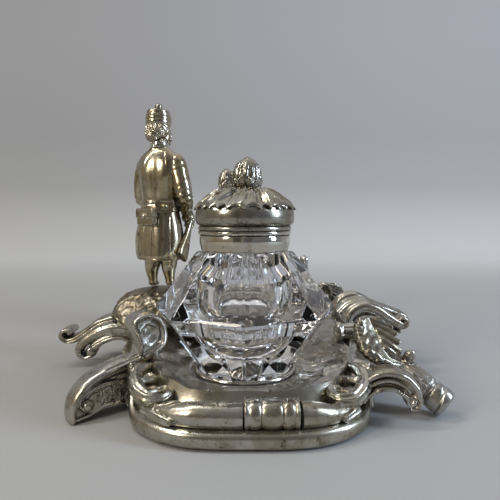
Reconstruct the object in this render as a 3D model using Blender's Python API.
"""Desk inkstand: a scroll-footed base, two cut-glass bottles with hinged lids and a rifleman on a rock.

Metres, +Z up, origin at the bottom centre of the base. The long axis is X, and the writer sits at -Y.
"""
import math

import bmesh
import bpy
from mathutils import Matrix, Vector

for leftover in list(bpy.data.objects):
    bpy.data.objects.remove(leftover)

MM = 0.001
UP = Vector((0, 0, 1))

# Clearances
GAP = 0.3 * MM
HINGE_GAP = 0.3 * MM
OVERRUN = 1.0 * MM
WELD = 0.004 * MM

# Base plate
END_REACH = 86 * MM
SIDE_REACH = 57 * MM
END_HALF = SIDE_REACH - 16 * MM
END_DROP = 16 * MM
END_POWER = 3.5
CORNER_X = END_REACH - 26 * MM
CORNER_Y = SIDE_REACH - 10 * MM
PLATE_SHEET = 1.6 * MM
DISH_LEVEL = 15 * MM
SEAT_CUT = 0.4 * MM
SIDE_RISE = 7.5 * MM
RIDGE_RISE = 4 * MM
RIDGE_WIDTH = 13 * MM
LEDGE_WIDTH = 10 * MM
END_LEDGE = 6.2 * MM
SIDE_LEDGE = 17 * MM
END_SKIRT = 0.8 * MM
SIDE_SKIRT = 11 * MM
PLATE_STEPS = 44

# Rolls at the ends
ROLL_RADIUS = 4.2 * MM
ROLL_TIP = 2.4 * MM
ROLL_HALF = END_HALF - 5 * MM
CLASP_CENTRE = -7 * MM
CLASP_HALF = 9 * MM
CLASP_LOBE = 4.9 * MM
CLASP_GROOVE = 4.0 * MM

# Scroll feet: reach runs outward in plan, rise runs up
BACK_FOOT_X = END_REACH - 41 * MM
BACK_FOOT_Y = 0.702 * SIDE_REACH
BACK_FOOT_TURN = 37
BACK_FOOT_REACH = 30 * MM
BACK_FOOT_RISE = 32 * MM
BACK_FOOT_WIDTH = 10 * MM
FRONT_FOOT_X = END_REACH - 21 * MM
FRONT_FOOT_Y = 0.72 * SIDE_REACH
FRONT_FOOT_TURN = -6
FRONT_FOOT_REACH = 20 * MM
FRONT_FOOT_RISE = 17.5 * MM
FRONT_FOOT_WIDTH = 9 * MM
WEB_SHARE = 0.45
BOSS_SHARE = 0.8

# Log feet
LOG_TOP = 5.2 * MM
LOG_TOE = 4.6 * MM
LOG_START_X = END_REACH - 37 * MM
LOG_START_Y = SIDE_REACH - 1 * MM
LOG_START_Z = 18 * MM
LOG_TOE_X = END_REACH - 28 * MM
LOG_TOE_Y = SIDE_REACH + 18 * MM
LOG_SINK_SHARE = 0.62
STUB_RADIUS = 1.9 * MM
STUB_HEIGHT = 8 * MM

# Middle scrolls on the long sides
FLANK_X = 14 * MM
FLANK_WIDTH = 8 * MM
RIBBON_WIDTH = 14 * MM
QUARTER_TURN = 90
BACK_MIDDLE_START = SIDE_REACH - 10 * MM
BACK_MIDDLE_REACH = 48 * MM
BACK_MIDDLE_RISE = 27 * MM
FRONT_MIDDLE_START = SIDE_REACH - 12 * MM
FRONT_MIDDLE_REACH = 34 * MM
FRONT_MIDDLE_RISE = 34 * MM

# Small front ornaments
SCROLL_ROLL_X = END_REACH - 50.998 * MM
SCROLL_ROLL_Y = SIDE_REACH - 21 * MM
SCROLL_ROLL_Z = 24.5 * MM
SCROLL_ROLL_LENGTH = 9 * MM
SCROLL_ROLL_RADIUS = 4.4 * MM
LEAF_X = END_REACH - 49.02 * MM
LEAF_Y = SIDE_REACH - 10 * MM
LEAF_TOP = 31 * MM
LEAF_LENGTH = 30 * MM
LEAF_WIDTH = 18 * MM
LEAF_SHEET = 1.4 * MM
REST_Y = 27 * MM
REST_TOP = 54 * MM
REST_RADIUS = 2.0 * MM
REST_FORK = 6 * MM

# Bottles
BOTTLE_X = END_REACH - 36 * MM
BOTTLE_Y = 2 * MM
FOOT_RADIUS = 18 * MM
GIRDLE_RADIUS = 35 * MM
SHOULDER_RADIUS = 17.4 * MM
SHOULDER_HEIGHT = 44.7 * MM
GIRDLE_HEIGHT = 0.519 * SHOULDER_HEIGHT
NECK_RADIUS = SHOULDER_RADIUS - 2.8 * MM
NECK_HEIGHT = SHOULDER_HEIGHT + 6.3 * MM
MOUTH_RADIUS = NECK_RADIUS - 3.1 * MM
WELL_RADIUS = SHOULDER_RADIUS - 1.9 * MM
WELL_FLOOR = 11 * MM
WELL_TOP = SHOULDER_HEIGHT - 8.7 * MM
FACETS = 8
SEAT_RING_WALL = 1.8 * MM
SEAT_RING_HEIGHT = 2.0 * MM

# Collar, hinge and lid
COLLAR_WALL = 1.5 * MM
COLLAR_HEIGHT = 7.4 * MM
PIN_RADIUS = 0.8 * MM
KNUCKLE_RADIUS = 2.0 * MM
HINGE_OFFSET = 1.2 * MM
HINGE_LENGTH = 8 * MM
LID_KNUCKLE = 3 * MM
LID_RADIUS = SHOULDER_RADIUS + 1.6 * MM
LID_WALL = 1.4 * MM
LID_HEIGHT = 16.6 * MM
LID_LOBES = 8
LOBE_DEPTH = 0.5 * MM
LARGE_NUT_RADIUS = 4.6 * MM
LARGE_NUT_HEIGHT = 10.5 * MM
SMALL_NUT_RADIUS = 3.2 * MM
SMALL_NUT_HEIGHT = 7.4 * MM
NUT_SPREAD = 8.4 * MM

# Rock mound and its fixing
MOUND_Y = SIDE_REACH - 13 * MM
MOUND_RADIUS = 25 * MM
MOUND_FOOT = 23 * MM
MOUND_HEIGHT = 15.5 * MM
MOUND_SHEET = 2.6 * MM
MOUND_SCALLOP = 3.2 * MM
MOUND_SCALLOPS = 7
STUD_RADIUS = 1.6 * MM
NUT_RADIUS = 4 * MM
NUT_HEIGHT = 3 * MM

# Figure, in its own frame: +X is where it faces, +Y is its left
FIGURE_TURN = -18
FIGURE_HEIGHT = 91 * MM
COAT_WIDTH = 0.1055 * FIGURE_HEIGHT
COAT_DEPTH = 0.0703 * FIGURE_HEIGHT
LIMB_RADIUS = 0.0363 * FIGURE_HEIGHT
HEAD_RADIUS = 0.0648 * FIGURE_HEIGHT
NECK_WALL = 0.0099 * FIGURE_HEIGHT
BELT_HEIGHT = 0.033 * FIGURE_HEIGHT
BELT_WALL = 0.0099 * FIGURE_HEIGHT
POUCH_WIDTH = 0.0824 * FIGURE_HEIGHT
POUCH_HEIGHT = 0.066 * FIGURE_HEIGHT
POUCH_DEPTH = 0.033 * FIGURE_HEIGHT
BARREL_RADIUS = 0.0099 * FIGURE_HEIGHT


def metal(name, colour, roughness):
    material = bpy.data.materials.new(name)
    material.use_nodes = True
    shader = material.node_tree.nodes["Principled BSDF"]
    shader.inputs["Base Color"].default_value = (*colour, 1)
    shader.inputs["Metallic"].default_value = 1
    shader.inputs["Roughness"].default_value = roughness
    return material


SILVER = metal("old_silver", (0.62, 0.58, 0.50), 0.3)
BRIGHT = metal("bright_silver", (0.74, 0.72, 0.67), 0.22)
DARK = metal("dark_silver", (0.42, 0.38, 0.30), 0.38)
BRASS = metal("brass_nut", (0.62, 0.47, 0.22), 0.35)
GLASS = metal("cut_glass", (0.86, 0.89, 0.95), 0.02)
GLASS.node_tree.nodes["Principled BSDF"].inputs["Metallic"].default_value = 0
GLASS.node_tree.nodes["Principled BSDF"].inputs["Transmission Weight"].default_value = 1

SMOOTH_ANGLE = math.radians(38)


def made(name, bm, material, parent=None):
    """Closes the mesh's normals and links it as one named piece, in its parent's frame."""
    bmesh.ops.recalc_face_normals(bm, faces=bm.faces)
    mesh = bpy.data.meshes.new(name)
    bm.to_mesh(mesh)
    bm.free()
    mesh.materials.append(material)
    mesh.shade_smooth()
    mesh.set_sharp_from_angle(angle=SMOOTH_ANGLE)
    piece = bpy.data.objects.new(name, mesh)
    bpy.context.scene.collection.objects.link(piece)
    piece.parent = parent
    return piece


def pivot(name, place, turn=0, parent=None):
    empty = bpy.data.objects.new(name, None)
    bpy.context.scene.collection.objects.link(empty)
    empty.location = place
    empty.rotation_euler = (0, 0, math.radians(turn))
    empty.parent = parent
    bpy.context.view_layer.update()
    return empty


def lofted(rings, closed=False):
    """A solid through rings of equal point counts: capped at both ends, or joined last to first."""
    bm = bmesh.new()
    rows = [[bm.verts.new(point) for point in ring] for ring in rings]
    count = len(rows[0])
    pairs = list(zip(rows, rows[1:] + rows[:1])) if closed else list(zip(rows, rows[1:]))
    for lower, upper in pairs:
        for i in range(count):
            j = (i + 1) % count
            bm.faces.new((lower[i], lower[j], upper[j], upper[i]))
    if not closed:
        for row in (rows[0], rows[-1]):
            middle = bm.verts.new(sum((v.co for v in row), Vector()) / count)
            for i in range(count):
                bm.faces.new((row[i], row[(i + 1) % count], middle))
    return bm


def ellipse(centre, along, across, half_along, half_across, sides):
    angles = [2 * math.pi * i / sides for i in range(sides)]
    return [centre + along * half_along * math.cos(a) + across * half_across * math.sin(a) for a in angles]


def turned(profile, sides, closed=False):
    """A turned solid about Z from (radius, height) points."""
    along = Vector((1, 0, 0))
    across = Vector((0, 1, 0))
    rings = [ellipse(UP * height, along, across, radius, radius, sides) for radius, height in profile]
    return lofted(rings, closed)


def swept(path, radii, side, width_share, sides=8):
    """A band along a flat path. Its half thickness is in radii, and width_share times that is its half width."""
    rings = []
    for i, point in enumerate(path):
        before = path[max(i - 1, 0)]
        after = path[min(i + 1, len(path) - 1)]
        outward = side.cross((after - before).normalized())
        share = width_share if isinstance(width_share, (int, float)) else width_share[i]
        rings.append(ellipse(point, outward, side, radii[i], radii[i] * share, sides))
    return lofted(rings)


def curve_through(points, steps):
    """Points on a smooth curve through the given tuples, all their columns alike (Catmull-Rom)."""
    out = []
    last = len(points) - 1
    for i in range(last):
        p0 = points[max(i - 1, 0)]
        p1 = points[i]
        p2 = points[i + 1]
        p3 = points[min(i + 2, last)]
        for k in range(steps):
            t = k / steps
            square = t * t
            cube = square * t
            out.append(tuple(
                0.5 * (2 * b + (c - a) * t + (2 * a - 5 * b + 4 * c - d) * square + (3 * b - a - 3 * c + d) * cube)
                for a, b, c, d in zip(p0, p1, p2, p3)))
    out.append(tuple(points[last]))
    return out


def boolean(piece, other, operation):
    modifier = piece.modifiers.new(operation.lower(), "BOOLEAN")
    modifier.operation = operation
    modifier.solver = "EXACT"
    modifier.use_self = True
    modifier.object = other
    bpy.context.view_layer.update()
    result = bpy.data.meshes.new_from_object(piece.evaluated_get(bpy.context.evaluated_depsgraph_get()))
    piece.modifiers.remove(modifier)
    bm = bmesh.new()
    bm.from_mesh(result)
    bmesh.ops.remove_doubles(bm, verts=bm.verts, dist=WELD)
    bmesh.ops.dissolve_degenerate(bm, edges=bm.edges, dist=WELD)
    bmesh.ops.triangulate(bm, faces=bm.faces)
    bm.to_mesh(result)
    bm.free()
    piece.data = result
    result.shade_smooth()
    result.set_sharp_from_angle(angle=SMOOTH_ANGLE)


def joined(piece, *others):
    """Unites the others into the piece."""
    for other in others:
        boolean(piece, other, "UNION")
        bpy.data.objects.remove(other)
    return piece


def grown(piece, distance):
    """A copy of the piece whose faces stand further out by the distance."""
    bpy.context.view_layer.update()
    bm = bmesh.new()
    bm.from_mesh(piece.data)
    bm.transform(piece.matrix_world)
    bm.normal_update()
    moves = []
    for vertex in bm.verts:
        least = min(max(vertex.normal.dot(face.normal), 0.5) for face in vertex.link_faces)
        moves.append(vertex.normal * distance / least)
    for vertex, move in zip(bm.verts, moves):
        vertex.co += move
    copy = bpy.data.objects.new(piece.name + "_room", bpy.data.meshes.new(piece.name + "_room"))
    bm.to_mesh(copy.data)
    bm.free()
    bpy.context.scene.collection.objects.link(copy)
    return copy


def fitted(piece, *neighbours):
    """Cuts the piece back by the usual gap wherever it meets a neighbour."""
    for neighbour in neighbours:
        room = grown(neighbour, GAP)
        boolean(piece, room, "DIFFERENCE")
        bpy.data.objects.remove(room)
    return piece


def level_cut(bm, height):
    """Cuts the mesh flat at a height and keeps what is above."""
    whole = bm.verts[:] + bm.edges[:] + bm.faces[:]
    cut = bmesh.ops.bisect_plane(bm, geom=whole, plane_co=(0, 0, height), plane_no=(0, 0, -1),
                                 clear_outer=True)
    edges = [e for e in cut["geom_cut"] if isinstance(e, bmesh.types.BMEdge)]
    bmesh.ops.contextual_create(bm, geom=edges)
    return bm


def tube(path, radii, flatten=1, sides=10):
    """A limb along any path, with its section carried along without twisting. flatten narrows it one way."""
    last = len(path) - 1
    tangents = [(path[min(i + 1, last)] - path[max(i - 1, 0)]).normalized() for i in range(last + 1)]
    along = tangents[0].orthogonal().normalized()
    rings = []
    for point, tangent, radius in zip(path, tangents, radii):
        along = (along - tangent * along.dot(tangent)).normalized()
        across = tangent.cross(along)
        rings.append(ellipse(point, along, across, radius, radius * flatten, sides))
    return lofted(rings)


def sheeted(grid, thickness):
    """A closed sheet of even thickness under a grid of points."""
    rows = len(grid)
    columns = len(grid[0])
    below = []
    for i in range(rows):
        line = []
        for j in range(columns):
            along = grid[min(i + 1, rows - 1)][j] - grid[max(i - 1, 0)][j]
            across = grid[i][min(j + 1, columns - 1)] - grid[i][max(j - 1, 0)]
            line.append(grid[i][j] - across.cross(along).normalized() * thickness)
        below.append(line)
    bm = bmesh.new()
    top = [[bm.verts.new(p) for p in row] for row in grid]
    bottom = [[bm.verts.new(p) for p in row] for row in below]
    for i in range(rows - 1):
        for j in range(columns - 1):
            for side in (top, bottom):
                bm.faces.new((side[i][j], side[i + 1][j], side[i + 1][j + 1], side[i][j + 1]))
    edge = [(i, 0) for i in range(rows)] + [(rows - 1, j) for j in range(1, columns)]
    edge += [(i, columns - 1) for i in range(rows - 2, -1, -1)] + [(0, j) for j in range(columns - 2, 0, -1)]
    for (i, j), (k, m) in zip(edge, edge[1:] + edge[:1]):
        bm.faces.new((top[i][j], top[k][m], bottom[k][m], bottom[i][j]))
    return bm


def prism(outline, half):
    """A flat plate between two copies of a plan outline, half either way."""
    bm = bmesh.new()
    front = [bm.verts.new(p + half) for p in outline]
    back = [bm.verts.new(p - half) for p in outline]
    for i, vertex in enumerate(front):
        j = (i + 1) % len(front)
        bm.faces.new((vertex, front[j], back[j], back[i]))
    bm.faces.new(front)
    bm.faces.new(back)
    return bm


def rod(name, bottom, top, radius, material, sides=12, parent=None):
    direction = (top - bottom).normalized()
    along = direction.orthogonal().normalized()
    across = direction.cross(along)
    rings = [ellipse(end, along, across, radius, radius, sides) for end in (bottom, top)]
    return made(name, lofted(rings), material, parent)


def smooth_step(value):
    share = min(max(value, 0), 1)
    return share * share * (3 - 2 * share)


# Base plate: each share is of the length that it sits beside in the formula
END_POINT_SHARES = (0, 0.3, 0.55, 0.8, 1)
SHOULDER_X_SHARE = 0.55
SHOULDER_Y_SHARE = 0.96
END_START_SHARE = 0.6
END_BLEND_SHARE = 0.25
DISH_START_SHARE = 0.35
DISH_BLEND_SHARE = 0.5
END_LOSS_SHARE = 0.7
DISH_RING_SHARES = (0.16, 0.32, 0.48, 0.62, 0.75, 0.87, 0.97)


def end_x(y):
    """How far the end's outline reaches at a place across."""
    return END_REACH - END_DROP * (abs(y) / END_HALF) ** END_POWER


def plate_outline():
    """Plan outline through the ends, the corners and the sides, as points counted by angle."""
    quarter = [(end_x(share * END_HALF), share * END_HALF) for share in END_POINT_SHARES]
    shoulder = (SHOULDER_X_SHARE * CORNER_X, SHOULDER_Y_SHARE * SIDE_REACH)
    quarter += [(CORNER_X, CORNER_Y), shoulder, (0, SIDE_REACH)]
    back = quarter + [(-x, y) for x, y in reversed(quarter[:-1])]
    loop = back + [(x, -y) for x, y in reversed(back[1:-1])]
    smooth = curve_through(loop + loop[:1], 12)
    angles = [math.atan2(y, x) % (2 * math.pi) for x, y in smooth[:-1]]
    ordered = sorted(zip(angles, smooth[:-1]))
    points = []
    for i in range(PLATE_STEPS):
        target = 2 * math.pi * i / PLATE_STEPS
        nearest = min(ordered, key=lambda pair: abs((pair[0] - target + math.pi) % (2 * math.pi) - math.pi))
        radius = math.hypot(*nearest[1])
        points.append(Vector((radius * math.cos(target), radius * math.sin(target), 0)))
    return points


def end_share(point):
    """One at the ends and nothing along the sides."""
    return smooth_step((abs(point.x) - END_START_SHARE * END_REACH) / (END_BLEND_SHARE * END_REACH))


def dish_height(point):
    side = smooth_step((abs(point.y) - DISH_START_SHARE * SIDE_REACH) / (DISH_BLEND_SHARE * SIDE_REACH))
    ridge = RIDGE_RISE * math.exp(-(point.x / RIDGE_WIDTH) ** 2) * (1 - side)
    lift = SIDE_RISE * side * (1 - END_LOSS_SHARE * end_share(point))
    return DISH_LEVEL + SEAT_CUT + lift + ridge


def base_plate():
    outline = plate_outline()
    inner = [p - p.normalized() * LEDGE_WIDTH for p in outline]
    tops = []
    for share in DISH_RING_SHARES:
        tops.append([Vector((p.x * share, p.y * share, dish_height(p * share))) for p in inner])
    step = []
    rim = []
    foot = []
    for p, q in zip(outline, inner):
        ends = end_share(p)
        ledge = END_LEDGE * ends + SIDE_LEDGE * (1 - ends)
        skirt = END_SKIRT * ends + SIDE_SKIRT * (1 - ends)
        step.append(Vector((q.x, q.y, ledge)))
        rim.append(Vector((p.x, p.y, ledge)))
        foot.append(Vector((p.x, p.y, skirt)))
    tops += [step, rim, foot]
    under = []
    for ring in (foot, rim, step):
        row = []
        for p in ring:
            inward = Vector((p.x, p.y, 0)).normalized() * PLATE_SHEET
            drop = 0 if ring is foot else PLATE_SHEET
            row.append(Vector((p.x - inward.x, p.y - inward.y, p.z - drop)))
        under.append(row)
    for ring in reversed(tops[:len(DISH_RING_SHARES)]):
        under.append([p - UP * PLATE_SHEET for p in ring])
    rows = tops + under
    bm = bmesh.new()
    loops = [[bm.verts.new(p) for p in row] for row in rows]
    for upper, lower in zip(loops, loops[1:]):
        for i in range(PLATE_STEPS):
            j = (i + 1) % PLATE_STEPS
            bm.faces.new((upper[i], upper[j], lower[j], lower[i]))
    middle = dish_height(Vector())
    for loop, height in ((loops[0], middle), (loops[-1], middle - PLATE_SHEET)):
        centre = bm.verts.new((0, 0, height))
        for i in range(PLATE_STEPS):
            bm.faces.new((loop[i], loop[(i + 1) % PLATE_STEPS], centre))
    return made("base_plate", bm, SILVER)


plate = base_plate()
for side in (-1, 1):
    seat = rod("seat_cutter", Vector((side * BOTTLE_X, BOTTLE_Y, DISH_LEVEL)),
               Vector((side * BOTTLE_X, BOTTLE_Y, DISH_LEVEL + SIDE_RISE)),
               FOOT_RADIUS + SEAT_RING_WALL + OVERRUN, SILVER, 32)
    boolean(plate, seat, "DIFFERENCE")
    bpy.data.objects.remove(seat)


# Rolls and clasps at the ends
TAPER_START_SHARE = 0.55
TAPER_BLEND_SHARE = 0.45
ROLL_STEPS = 9
CLASP_LOBES = 3
CLASP_STEPS = 4 * CLASP_LOBES + 1


def roll_point(side, y):
    return Vector((side * (end_x(y) - LEDGE_WIDTH / 2), y, END_LEDGE + 2 * GAP + ROLL_RADIUS))


def end_roll(name, side, start, stop):
    path = []
    radii = []
    for i in range(ROLL_STEPS):
        y = start + (stop - start) * i / (ROLL_STEPS - 1)
        taper = smooth_step((abs(y) - TAPER_START_SHARE * ROLL_HALF) / (TAPER_BLEND_SHARE * ROLL_HALF))
        radius = ROLL_RADIUS + (ROLL_TIP - ROLL_RADIUS) * taper
        point = roll_point(side, y)
        path.append(point - UP * (ROLL_RADIUS - radius))
        radii.append(radius)
    return made(name, swept(path, radii, UP, 1, 12), SILVER)


def clasp(name, side):
    path = []
    radii = []
    for i in range(CLASP_STEPS):
        y = CLASP_CENTRE - CLASP_HALF + 2 * CLASP_HALF * i / (CLASP_STEPS - 1)
        bulge = abs(math.sin(CLASP_LOBES * math.pi * i / (CLASP_STEPS - 1)))
        path.append(roll_point(side, y) + UP * (CLASP_LOBE - ROLL_RADIUS))
        radii.append(CLASP_GROOVE + (CLASP_LOBE - CLASP_GROOVE) * bulge)
    return made(name, swept(path, radii, UP, 1, 12), SILVER)


SIDE_NAMES = {-1: "left", 1: "right"}
end_pieces = []
for side, label in SIDE_NAMES.items():
    end_pieces.append(end_roll(label + "_roll_back", side, CLASP_CENTRE + CLASP_HALF + GAP, ROLL_HALF))
    end_pieces.append(end_roll(label + "_roll_front", side, CLASP_CENTRE - CLASP_HALF - GAP, -ROLL_HALF))
    end_pieces.append(clasp(label + "_roll_clasp", side))
fitted(plate, *end_pieces)


# Scrolls: shares are (reach, rise, half thickness of the rise)
BACK_FOOT_SHARES = (
    (0.20, 0.58, 0.050), (0.25, 0.78, 0.060), (0.02, 0.96, 0.075), (-0.22, 0.82, 0.080), (-0.20, 0.55, 0.085),
    (0.06, 0.42, 0.090), (0.38, 0.38, 0.100), (0.70, 0.30, 0.105), (0.90, 0.16, 0.095), (0.92, -0.04, 0.080))
FRONT_FOOT_SHARES = (
    (0.02, 0.50, 0.13), (0.10, 0.74, 0.16), (0.40, 0.88, 0.17), (0.72, 0.76, 0.17), (0.92, 0.44, 0.16),
    (0.92, -0.05, 0.13))
BACK_FOOT_WEB_SHARES = ((0.06, 0.42), (0.38, 0.38), (0.70, 0.30), (0.90, 0.14), (0.60, 0.03), (0.10, 0.14))
BACK_FOOT_BOSS_SHARES = (0.72, 0.14, 0.07)
FRONT_FOOT_WEB_SHARES = ((0.40, 0.86), (0.72, 0.74), (0.90, 0.40), (0.88, 0.20), (0.66, 0.42), (0.40, 0.62))
FRONT_FOOT_BOSS_SHARES = (0.74, 0.28, 0.15)
BACK_FLANK_SHARES = (
    (0.02, 0.74, 0.10), (0.16, 0.86, 0.11), (0.38, 0.88, 0.11), (0.58, 0.72, 0.11), (0.67, 0.48, 0.11),
    (0.62, 0.33, 0.10), (0.53, 0.35, 0.09))
BACK_RIBBON_SHARES = (
    (0.04, 0.80, 0.07), (0.24, 0.92, 0.08), (0.46, 0.90, 0.08), (0.64, 0.70, 0.08), (0.77, 0.48, 0.08),
    (0.89, 0.44, 0.08), (0.94, 0.56, 0.08), (0.88, 0.67, 0.08))
FRONT_FLANK_SHARES = (
    (0.02, 0.66, 0.08), (0.14, 0.86, 0.09), (0.38, 0.88, 0.09), (0.62, 0.80, 0.09), (0.74, 0.66, 0.09),
    (0.68, 0.54, 0.08), (0.56, 0.56, 0.07))
FRONT_RIBBON_SHARES = (
    (-0.08, 0.62, 0.06), (0.06, 0.80, 0.07), (0.28, 0.94, 0.07), (0.58, 0.88, 0.07), (0.82, 0.80, 0.07),
    (0.96, 0.72, 0.07), (0.92, 0.62, 0.06), (0.82, 0.62, 0.06))


def scroll(name, place, turn, reach, rise, width, shares, web=None, boss=None, toe=None, material=SILVER):
    """A scroll in an upright plane. Its band follows the shares, a thinner web fills the outline given, and a
    boss closes the curl at its toe."""
    outward = Matrix.Rotation(math.radians(turn), 3, "Z") @ Vector((1, 0, 0))
    side = outward.cross(UP)
    stations = curve_through(shares, 2)
    path = [place + outward * (s[0] * reach) + UP * (s[1] * rise) for s in stations]
    radii = [s[2] * rise for s in stations]
    width_shares = [width / 2 / r for r in radii]
    bm = swept(path, radii, side, width_shares)
    if toe is not None:
        level_cut(bm, toe)
    piece = made(name, bm, material)
    half = side * (width / 2)
    if web:
        points = [place + outward * (s[0] * reach) + UP * (s[1] * rise) for s in web]
        joined(piece, made("web", prism(points, half * WEB_SHARE), material))
    if boss:
        centre = place + outward * (boss[0] * reach) + UP * (boss[1] * rise)
        depth = half * BOSS_SHARE
        joined(piece, rod("boss", centre - depth, centre + depth, boss[2] * rise, material))
    return piece


feet = []
for side, label in SIDE_NAMES.items():
    back_turn = 90 - side * BACK_FOOT_TURN
    back_place = Vector((side * BACK_FOOT_X, BACK_FOOT_Y, 0))
    feet.append(scroll("back_" + label + "_scroll_foot", back_place, back_turn, BACK_FOOT_REACH, BACK_FOOT_RISE,
                       BACK_FOOT_WIDTH, BACK_FOOT_SHARES, BACK_FOOT_WEB_SHARES, BACK_FOOT_BOSS_SHARES, 0))
    front_turn = -90 - side * FRONT_FOOT_TURN
    front_place = Vector((side * FRONT_FOOT_X, -FRONT_FOOT_Y, 0))
    feet.append(scroll("front_" + label + "_scroll_foot", front_place, front_turn, FRONT_FOOT_REACH,
                       FRONT_FOOT_RISE, FRONT_FOOT_WIDTH, FRONT_FOOT_SHARES, FRONT_FOOT_WEB_SHARES,
                       FRONT_FOOT_BOSS_SHARES, 0))


# Log feet with a lopped stub
LOG_STATION_SHARES = (0, 0.25, 0.5, 0.75, 0.94, 1)
LOG_TIP_SHARE = 0.8
STUB_SHARE = 0.25


def log_foot(label, side):
    start = Vector((side * LOG_START_X, -LOG_START_Y, LOG_START_Z))
    toe = Vector((side * LOG_TOE_X, -LOG_TOE_Y, LOG_TOE * LOG_SINK_SHARE))
    across = (toe - start).cross(UP).normalized()
    path = [start.lerp(toe, share) for share in LOG_STATION_SHARES]
    radii = [LOG_TOP, LOG_TOP, (LOG_TOP + LOG_TOE) / 2, LOG_TOE, LOG_TOE, LOG_TOE * LOG_TIP_SHARE]
    log = made("front_" + label + "_log_foot", level_cut(swept(path, radii, across, 1, 12), 0), DARK)
    base = start.lerp(toe, STUB_SHARE)
    stub = rod("stub", base, base + UP * (LOG_TOP + STUB_HEIGHT), STUB_RADIUS, DARK, 10)
    return joined(log, stub)


for side, label in SIDE_NAMES.items():
    feet.append(log_foot(label, side))

middles = []
for facing, reach_sign, start, reach, rise, flank_shares, ribbon_shares in (
        ("back", 1, BACK_MIDDLE_START, BACK_MIDDLE_REACH, BACK_MIDDLE_RISE, BACK_FLANK_SHARES,
         BACK_RIBBON_SHARES),
        ("front", -1, FRONT_MIDDLE_START, FRONT_MIDDLE_REACH, FRONT_MIDDLE_RISE, FRONT_FLANK_SHARES,
         FRONT_RIBBON_SHARES)):
    turn = QUARTER_TURN * reach_sign
    middles.append(scroll(facing + "_ribbon", Vector((0, reach_sign * start, 0)), turn, reach, rise,
                          RIBBON_WIDTH, ribbon_shares))
    for side, label in SIDE_NAMES.items():
        flank_place = Vector((side * FLANK_X, reach_sign * start, 0))
        middles.append(scroll(facing + "_" + label + "_flank", flank_place, turn, reach, rise, FLANK_WIDTH,
                              flank_shares))
fitted(plate, *feet, *middles)


# Small front ornaments
LEAF_SHARES = (
    (-0.10, -0.28, 0.70, 0.10), (-0.04, -0.14, 0.90, 0.55), (0.03, 0.04, 0.98, 0.90), (0.14, 0.24, 0.84, 1.0),
    (0.24, 0.42, 0.62, 0.72), (0.32, 0.54, 0.44, 0.10))
LEAF_ACROSS_SHARES = (-1, -0.6, -0.2, 0.2, 0.6, 1)
LEAF_SAG_SHARE = 0.35
LEAF_CROWN_SHARE = 0.1
LEAF_SPREAD_SHARES = (0.8, 0.6)


def leaf(label, side):
    """A drooping leaf. Its shares are outward along X, outward along Y, height and half width."""
    grid = []
    spread_x, spread_y = LEAF_SPREAD_SHARES
    for across in LEAF_ACROSS_SHARES:
        line = []
        for out_x, out_y, height, width in curve_through(LEAF_SHARES, 2):
            spread = across * width * LEAF_WIDTH / 2
            sag = (LEAF_SAG_SHARE * across * across - LEAF_CROWN_SHARE) * width * LEAF_WIDTH / 2
            line.append(Vector((side * (LEAF_X + out_x * LEAF_LENGTH + spread_x * spread),
                                -(LEAF_Y + out_y * LEAF_LENGTH - spread_y * spread),
                                LEAF_TOP * height - sag)))
        grid.append(line)
    if side < 0:
        grid.reverse()
    return made("front_" + label + "_leaf", sheeted(grid, LEAF_SHEET), SILVER)


def scroll_roll(label, side):
    x = side * SCROLL_ROLL_X
    start = Vector((x, -SCROLL_ROLL_Y, SCROLL_ROLL_Z))
    end = Vector((x, -SCROLL_ROLL_Y - SCROLL_ROLL_LENGTH, SCROLL_ROLL_Z))
    return rod("front_" + label + "_scroll_roll", start, end, SCROLL_ROLL_RADIUS, SILVER, 16)


FORK_SHARE = 0.7
TRUNK_SHARES = (1.3, 1, 1)
PRONG_SHARES = (0.8, 0.8, 0.9)


def pen_rest():
    """A twig with a fork at the top. Its thicknesses are shares of the rest's radius."""
    foot = dish_height(Vector((0, -REST_Y, 0))) - PLATE_SHEET / 2
    fork = foot + FORK_SHARE * (REST_TOP - foot)
    trunk_path = [Vector((0, -REST_Y, height)) for height in (foot, (foot + fork) / 2, fork)]
    trunk = made("pen_rest", tube(trunk_path, [share * REST_RADIUS for share in TRUNK_SHARES], 1, 8), SILVER)
    for side in (-1, 1):
        prong_path = [Vector((0, -REST_Y, fork - REST_RADIUS)),
                      Vector((side * REST_FORK / 2, -REST_Y, (fork + REST_TOP) / 2)),
                      Vector((side * REST_FORK / 2, -REST_Y, REST_TOP))]
        prong = made("prong", tube(prong_path, [share * REST_RADIUS for share in PRONG_SHARES], 1, 8), SILVER)
        joined(trunk, prong)
    return trunk


ornaments = []
for side, label in SIDE_NAMES.items():
    roll = fitted(scroll_roll(label, side), *middles)
    blade = fitted(leaf(label, side), roll, *feet, *middles)
    ornaments += [roll, blade]
fitted(plate, *ornaments)
rest = fitted(pen_rest(), plate)


# Rock mound with its stud and nut
DOME_SHARES = ((1, 0), (0.96, 0.30), (0.84, 0.60), (0.62, 0.84), (0.34, 0.96))
THREE_BUMP_SHARE = 0.04
FIVE_BUMP_SHARE = 0.03


def mound_ring(radius, height, scallop):
    ring = []
    sides = 4 * MOUND_SCALLOPS
    for i in range(sides):
        angle = 2 * math.pi * i / sides
        rough = 1 + THREE_BUMP_SHARE * math.sin(3 * angle + height / MOUND_HEIGHT)
        rough += FIVE_BUMP_SHARE * math.cos(5 * angle)
        arch = MOUND_SCALLOP * scallop * (0.5 - 0.5 * math.cos(MOUND_SCALLOPS * angle))
        ring.append(Vector((radius * rough * math.cos(angle), MOUND_Y + radius * rough * math.sin(angle),
                            MOUND_FOOT + height + arch)))
    return ring


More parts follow.
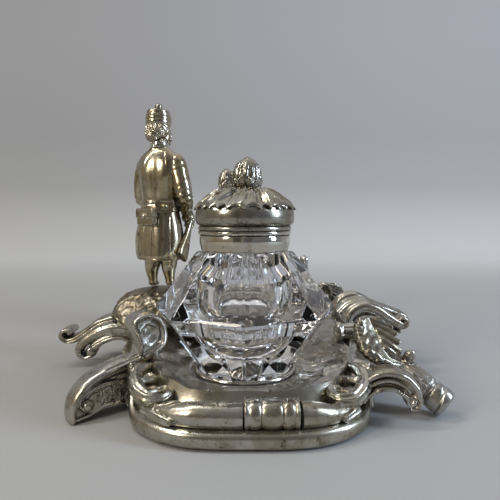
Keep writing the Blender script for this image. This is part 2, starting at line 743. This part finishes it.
def rock_mound():
    inner = [mound_ring(share * (MOUND_RADIUS - MOUND_SHEET), rise * (MOUND_HEIGHT - MOUND_SHEET), 1 - rise)
             for share, rise in reversed(DOME_SHARES)]
    outer = [mound_ring(share * MOUND_RADIUS, rise * MOUND_HEIGHT, 1 - rise) for share, rise in DOME_SHARES]
    return made("rock_mound", lofted(inner + outer), DARK)


mound = rock_mound()
_, crown_share = DOME_SHARES[-1]
stud_top = MOUND_FOOT + crown_share * (MOUND_HEIGHT - MOUND_SHEET) - 2 * GAP
plate_under = dish_height(Vector((0, MOUND_Y, 0))) - PLATE_SHEET
stud_foot = plate_under - NUT_HEIGHT - OVERRUN
stud = rod("mound_stud", Vector((0, MOUND_Y, stud_foot)), Vector((0, MOUND_Y, stud_top)), STUD_RADIUS, BRASS, 12)
nut_foot = Vector((0, MOUND_Y, plate_under - NUT_HEIGHT - GAP))
nut = rod("stud_nut", nut_foot, Vector((0, MOUND_Y, plate_under - GAP)), NUT_RADIUS, BRASS, 6)
fitted(nut, stud)
fitted(plate, stud, nut)
fitted(mound, *middles, *feet, stud)


# Seat rings
for side, label in SIDE_NAMES.items():
    inner_radius = FOOT_RADIUS + GAP
    outer_radius = inner_radius + SEAT_RING_WALL
    low = DISH_LEVEL + GAP
    high = low + SEAT_RING_HEIGHT
    profile = ((inner_radius, low), (outer_radius, low), (outer_radius, low + SEAT_RING_HEIGHT / 2),
               (inner_radius + SEAT_RING_WALL / 2, high), (inner_radius, high))
    ring = made(label + "_seat_ring", turned(profile, 20, closed=True), BRIGHT)
    ring.location = (side * BOTTLE_X, BOTTLE_Y, 0)


# Bottles
def facet_shape(angle):
    """One at the facets' corners, and the flat's share between them."""
    turn = 2 * math.pi / FACETS
    offset = (angle + turn / 2) % turn - turn / 2
    return math.cos(turn / 2) / math.cos(turn / 2 - abs(offset))


def blended_ring(radius, height, facet):
    ring = []
    sides = 2 * FACETS
    for i in range(sides):
        angle = 2 * math.pi * i / sides
        r = radius * (1 + (facet_shape(angle) - 1) * facet)
        ring.append(Vector((r * math.cos(angle), r * math.sin(angle), height)))
    return ring


def glass_body(label, body):
    """The glass from its foot up and down into its well, as (radius, height, how faceted)."""
    profile = (
        (FOOT_RADIUS - OVERRUN, 0, 0), (FOOT_RADIUS, OVERRUN, 0), (FOOT_RADIUS, SEAT_RING_HEIGHT + 3 * GAP, 0),
        (GIRDLE_RADIUS, GIRDLE_HEIGHT, 1), (SHOULDER_RADIUS, SHOULDER_HEIGHT - OVERRUN, 0),
        (SHOULDER_RADIUS, SHOULDER_HEIGHT, 0), (NECK_RADIUS, SHOULDER_HEIGHT, 0),
        (NECK_RADIUS, NECK_HEIGHT, 0), (MOUTH_RADIUS, NECK_HEIGHT, 0), (MOUTH_RADIUS, WELL_TOP, 0),
        (WELL_RADIUS, WELL_TOP - 3 * OVERRUN, 0), (WELL_RADIUS, WELL_FLOOR + OVERRUN, 0),
        (WELL_RADIUS - OVERRUN, WELL_FLOOR, 0))
    return made(label + "_glass", lofted([blended_ring(*ring) for ring in profile]), GLASS, body)


COLLAR_TAPER_SHARE = 0.3
COLLAR_BEAD_SHARES = (0.12, 0.06)
HINGE_X = SHOULDER_RADIUS + HINGE_OFFSET
SEAM = SHOULDER_HEIGHT + GAP + COLLAR_HEIGHT
HINGE_Z = SEAM + GAP / 2
KNUCKLE_END = HINGE_LENGTH / 2
LID_KNUCKLE_END = LID_KNUCKLE / 2


def on_axis(name, start, stop, radius, parent, origin, material=BRIGHT, sides=12):
    """A rod on the hinge's axis from start to stop along Y, in a frame whose origin is given."""
    ends = [Vector((HINGE_X, y, HINGE_Z)) - origin for y in (start, stop)]
    return rod(name, *ends, radius, material, sides, parent)


def collar(label, body):
    top = SEAM
    bottom = SHOULDER_HEIGHT + GAP
    inner = NECK_RADIUS + GAP
    outer = inner + COLLAR_WALL
    band = SHOULDER_RADIUS
    taper = bottom + COLLAR_TAPER_SHARE * COLLAR_HEIGHT
    bead_foot, bead = [top - share * COLLAR_HEIGHT for share in COLLAR_BEAD_SHARES]
    profile = (
        (inner, bottom), (outer, bottom), (band, taper), (band, bead_foot), (band + 2 * GAP, bead),
        (band + 2 * GAP, top), (inner, top))
    piece = made(label + "_collar", turned(profile, 20, closed=True), BRIGHT, body)
    here = Vector()
    half = LID_KNUCKLE_END + GAP
    room = on_axis("room", -half, half, KNUCKLE_RADIUS + HINGE_GAP, body, here)
    boolean(piece, room, "DIFFERENCE")
    bpy.data.objects.remove(room)
    for sign in (-1, 1):
        near, far = sorted((sign * half, sign * KNUCKLE_END))
        joined(piece, on_axis("knuckle", near, far, KNUCKLE_RADIUS, body, here))
    bore = on_axis("bore", -HINGE_LENGTH, HINGE_LENGTH, PIN_RADIUS + HINGE_GAP, body, here)
    boolean(piece, bore, "DIFFERENCE")
    bpy.data.objects.remove(bore)
    return piece


LID_SHARES = (
    (0.925, 0), (0.94, 0.09), (0.99, 0.15), (1, 0.30), (0.975, 0.53), (0.90, 0.70), (0.68, 0.87),
    (0.36, 0.97), (0.10, 1))
LID_EYE_SHARE = 0.04
LOBES_START_SHARE = 0.2


def lid_shape(angle):
    return 1 - LOBE_DEPTH / LID_RADIUS * (0.5 - 0.5 * math.cos(LID_LOBES * angle))


def lid_shell(label, hinge):
    """The lid in the hinge's frame: its own axis stands HINGE_X back from the pin."""
    rings = []
    lowest = GAP / 2
    back = Vector((-HINGE_X, 0, lowest))
    sides = 3 * LID_LOBES

    def ring(radius, height, lobed):
        points = []
        for i in range(sides):
            angle = 2 * math.pi * i / sides
            r = radius * (lid_shape(angle) if lobed else 1)
            points.append(back + Vector((r * math.cos(angle), r * math.sin(angle), height)))
        return points

    for share, rise in reversed(LID_SHARES):
        radius = max(share * LID_RADIUS - LID_WALL, LID_EYE_SHARE * LID_RADIUS)
        rings.append(ring(radius, rise * (LID_HEIGHT - LID_WALL), False))
    for share, rise in LID_SHARES:
        rings.append(ring(share * LID_RADIUS, rise * LID_HEIGHT, rise > LOBES_START_SHARE))
    piece = made(label + "_lid", lofted(rings), SILVER, hinge)
    here = Vector((HINGE_X, 0, HINGE_Z))
    for sign in (-1, 1):
        near, far = sorted((sign * LID_KNUCKLE_END, sign * (KNUCKLE_END + GAP)))
        room = on_axis("room", near, far, KNUCKLE_RADIUS + HINGE_GAP, hinge, here)
        boolean(piece, room, "DIFFERENCE")
        bpy.data.objects.remove(room)
    joined(piece, on_axis("knuckle", -LID_KNUCKLE_END, LID_KNUCKLE_END, KNUCKLE_RADIUS, hinge, here))
    bore = on_axis("bore", -HINGE_LENGTH, HINGE_LENGTH, PIN_RADIUS + HINGE_GAP, hinge, here)
    boolean(piece, bore, "DIFFERENCE")
    bpy.data.objects.remove(bore)
    return piece


NUT_SHARES = ((0.45, 0), (0.85, 0.12), (1, 0.35), (0.92, 0.58), (0.62, 0.82), (0.16, 1))
NUT_SIDES = 12
RIB_SHARE = 0.07
SMALL_NUT_LEAN = -12


def nut_finial(name, hinge, place, radius, height, tilt):
    rings = []
    for share, rise in NUT_SHARES:
        ring = []
        for i in range(NUT_SIDES):
            angle = 2 * math.pi * i / NUT_SIDES
            ribbed = 1 - RIB_SHARE * (i % 2)
            reach = share * radius * ribbed
            ring.append(Vector((reach * math.cos(angle), reach * math.sin(angle), rise * height)))
        rings.append(ring)
    lean = Matrix.Rotation(math.radians(tilt), 3, "X")
    return made(name, lofted([[place + lean @ p for p in ring] for ring in rings]), BRIGHT, hinge)


for side, label in SIDE_NAMES.items():
    body = pivot(label + "_bottle_pivot", (side * BOTTLE_X, BOTTLE_Y, DISH_LEVEL + GAP))
    glass_body(label, body)
    collar(label, body)
    on_axis(label + "_hinge_pin", -KNUCKLE_END, KNUCKLE_END, PIN_RADIUS, body, Vector(), DARK, 12)
    hinge = pivot(label + "_lid_pivot", (HINGE_X, 0, HINGE_Z), 0, body)
    lid = lid_shell(label, hinge)
    crown = Vector((-HINGE_X, 0, LID_HEIGHT - OVERRUN))
    large = nut_finial(label + "_large_nut", hinge, crown, LARGE_NUT_RADIUS, LARGE_NUT_HEIGHT, 0)
    aside = crown + Vector((0, NUT_SPREAD, -OVERRUN))
    small = nut_finial(label + "_small_nut", hinge, aside, SMALL_NUT_RADIUS, SMALL_NUT_HEIGHT,
                       SMALL_NUT_LEAN)
    fitted(large, lid)
    fitted(small, lid, large)


# Figure: shares of its height. Rings are (height, forward, left, half depth, half width)
STAND = MOUND_FOOT + MOUND_HEIGHT + GAP
COAT_SHARES = (
    (0.150, 0.000, 0, 1.20, 1.26), (0.200, 0.000, 0, 1.14, 1.22), (0.320, 0.000, 0, 1.02, 1.10),
    (0.420, 0.000, 0, 0.92, 0.96), (0.500, 0.002, 0, 0.94, 0.94), (0.620, 0.004, 0, 1.05, 1.03),
    (0.700, 0.002, 0, 0.95, 1.02), (0.735, 0.000, 0, 0.72, 0.76), (0.755, 0.000, 0, 0.50, 0.42))
WAIST_SHARES = COAT_SHARES[3]
LEG_SHARES = (
    (0.000, 0.020, 0.045, 1.35, 0.80), (0.022, 0.020, 0.045, 1.30, 0.78), (0.040, 0.004, 0.045, 0.80, 0.76),
    (0.090, 0.000, 0.046, 0.92, 0.90), (0.143, 0.000, 0.046, 1.02, 1.00))
HEAD_SHARES = (
    (0.762, 0.000, 0, 0.52, 0.50), (0.772, 0.012, 0, 0.70, 0.62), (0.790, 0.010, 0, 0.86, 0.76),
    (0.820, 0.008, 0, 0.98, 0.88), (0.850, 0.004, 0, 1.00, 0.90), (0.884, 0.000, 0, 0.96, 0.88))
CAP_SHARES = (
    (0.888, 0.002, 0, 1.02, 0.96), (0.900, 0.002, 0, 1.00, 0.93), (0.940, 0.000, 0, 0.86, 0.80),
    (0.962, 0.000, 0, 0.78, 0.72), (0.972, 0.000, 0, 0.52, 0.48))
COLLAR_SHARES = ((0.755, 0.92), (0.785, 0.86))
BALL_SHARES = (0.987, 0.24)
RIGHT_ARM_SHARES = (
    (0.705, 0.000, -0.112, 0.80), (0.690, 0.000, -0.122, 1.00), (0.600, -0.016, -0.136, 1.00),
    (0.505, -0.020, -0.142, 0.92), (0.455, 0.010, -0.140, 0.84), (0.395, 0.052, -0.128, 0.66))
LEFT_ARM_SHARES = (
    (0.705, 0.000, 0.112, 0.80), (0.690, 0.000, 0.122, 1.00), (0.600, -0.006, 0.138, 1.00),
    (0.510, 0.010, 0.140, 0.92), (0.520, 0.062, 0.118, 0.82), (0.545, 0.112, 0.066, 0.66))
STOCK_SHARES = (
    (0.200, -0.006, -0.164, 0.80), (0.260, 0.018, -0.150, 1.00), (0.335, 0.048, -0.134, 0.74),
    (0.400, 0.084, -0.098, 0.66), (0.500, 0.134, -0.020, 0.56))
BARREL_SHARES = (0.735, 0.126, 0.105)
POUCH_PLACE_SHARES = (("left", 0.385, 0.046), ("right", 0.430, -0.042))
POUCH_TAPER_SHARE = 0.08
POUCH_BACK_SHARE = 0.9
STOCK_FLAT_SHARE = 0.5


def body_rings(shares, depth, width, mirror=1):
    ahead = Vector((1, 0, 0))
    aside = Vector((0, 1, 0))
    rings = []
    for height, forward, left, half_depth, half_width in shares:
        centre = Vector((forward, mirror * left, height)) * FIGURE_HEIGHT
        rings.append(ellipse(centre, ahead, aside, half_depth * depth, half_width * width, 14))
    return rings


def along_shares(shares):
    """Points and radii of a limb whose shares are (height, forward, left, thickness)."""
    smooth = curve_through(shares, 2)
    points = [Vector((forward, left, height)) * FIGURE_HEIGHT for height, forward, left, _ in smooth]
    return points, [share[3] * LIMB_RADIUS for share in smooth]


def band(name, low, high, inner, outer, figure, material=SILVER):
    """A closed band: inner and outer are (half depth, half width) at its foot and its top."""
    rings = []
    for height, (depth, width) in ((low, inner[0]), (low, outer[0]), (high, outer[1]), (high, inner[1])):
        rings.append(ellipse(UP * height, Vector((1, 0, 0)), Vector((0, 1, 0)), depth, width, 16))
    return made(name, lofted(rings, closed=True), material, figure)


figure = pivot("figure_pivot", (0, MOUND_Y, STAND), FIGURE_TURN)
coat = made("figure_coat", lofted(body_rings(COAT_SHARES, COAT_DEPTH, COAT_WIDTH)), SILVER, figure)
legs = []
for mirror, label in ((1, "left"), (-1, "right")):
    rings = body_rings(LEG_SHARES, LIMB_RADIUS, LIMB_RADIUS, mirror)
    legs.append(made("figure_" + label + "_leg", lofted(rings), SILVER, figure))
head = made("figure_head", lofted(body_rings(HEAD_SHARES, HEAD_RADIUS, HEAD_RADIUS)), SILVER, figure)
cap = made("figure_cap", lofted(body_rings(CAP_SHARES, HEAD_RADIUS, HEAD_RADIUS)), SILVER, figure)
ball_rise, ball_share = BALL_SHARES
ball_profile = [(ball_share * HEAD_RADIUS * math.sin(math.pi * k / 6), -math.cos(math.pi * k / 6) *
                 ball_share * HEAD_RADIUS + ball_rise * FIGURE_HEIGHT) for k in range(1, 6)]
ball = made("figure_cap_ball", turned(ball_profile, 10), BRIGHT, figure)
arms = []
for label, shares in (("left", LEFT_ARM_SHARES), ("right", RIGHT_ARM_SHARES)):
    points, radii = along_shares(shares)
    arms.append(fitted(made("figure_" + label + "_arm", tube(points, radii), SILVER, figure), coat))
low_neck, high_neck = [(rise * FIGURE_HEIGHT, share * HEAD_RADIUS) for rise, share in COLLAR_SHARES]
stand_collar = band("figure_collar", low_neck[0], high_neck[0],
                    [(low_neck[1] - NECK_WALL,) * 2, (high_neck[1] - NECK_WALL,) * 2],
                    [(low_neck[1],) * 2, (high_neck[1],) * 2], figure, BRIGHT)
fitted(head, stand_collar, coat)
fitted(stand_collar, coat)
waist_rise, _, _, waist_deep, waist_wide = WAIST_SHARES
belt_middle = waist_rise * FIGURE_HEIGHT
waist_depth = waist_deep * COAT_DEPTH
waist_width = waist_wide * COAT_WIDTH
belt_inner = [(waist_depth - GAP, waist_width - GAP)] * 2
belt_outer = [(waist_depth + GAP + BELT_WALL, waist_width + GAP + BELT_WALL)] * 2
belt_foot = belt_middle - BELT_HEIGHT / 2
belt = band("figure_belt", belt_foot, belt_foot + BELT_HEIGHT, belt_inner, belt_outer, figure)
fitted(belt, coat, *arms)
pouches = []
for label, rise, left in POUCH_PLACE_SHARES:
    back = -(waist_depth + BELT_WALL + 2 * GAP)
    corners = []
    for drop in (-1, 1):
        swell = 1 - POUCH_TAPER_SHARE * drop
        half = POUCH_WIDTH / 2 * swell
        y = left * FIGURE_HEIGHT
        z = rise * FIGURE_HEIGHT + drop * POUCH_HEIGHT / 2
        corners.append([Vector((back + POUCH_DEPTH / 2, y - half, z)),
                        Vector((back + POUCH_DEPTH / 2, y + half, z)),
                        Vector((back - POUCH_DEPTH * swell, y + POUCH_BACK_SHARE * half, z)),
                        Vector((back - POUCH_DEPTH * swell, y - POUCH_BACK_SHARE * half, z))])
    pouch = made("figure_" + label + "_pouch", lofted(corners), SILVER, figure)
    pouches.append(fitted(pouch, coat, belt, *arms))
fitted(pouches[1], pouches[0])

points, radii = along_shares(STOCK_SHARES)
stock = made("rifle_stock", tube(points, radii, STOCK_FLAT_SHARE), DARK, figure)
fitted(stock, coat, *arms)
muzzle = Vector((BARREL_SHARES[1], BARREL_SHARES[2], BARREL_SHARES[0])) * FIGURE_HEIGHT
breech = points[-1] + (points[-1] - points[-2]).normalized() * GAP
barrel = rod("rifle_barrel", breech, muzzle, BARREL_RADIUS, DARK, 8, figure)
fitted(barrel, arms[0], coat)

# Everything hangs from one empty, which brings the bottom centre of the whole stand to the origin
bpy.context.view_layer.update()
pieces = [piece for piece in bpy.data.objects if piece.type == "MESH"]
corners = [piece.matrix_world @ vertex.co for piece in pieces for vertex in piece.data.vertices]
lowest = Vector([min(corner[axis] for corner in corners) for axis in range(3)])
highest = Vector([max(corner[axis] for corner in corners) for axis in range(3)])
stand_pivot = pivot("stand_pivot", (-(lowest.x + highest.x) / 2, -(lowest.y + highest.y) / 2, -lowest.z))
for item in bpy.data.objects:
    if item.parent is None and item is not stand_pivot:
        item.parent = stand_pivot
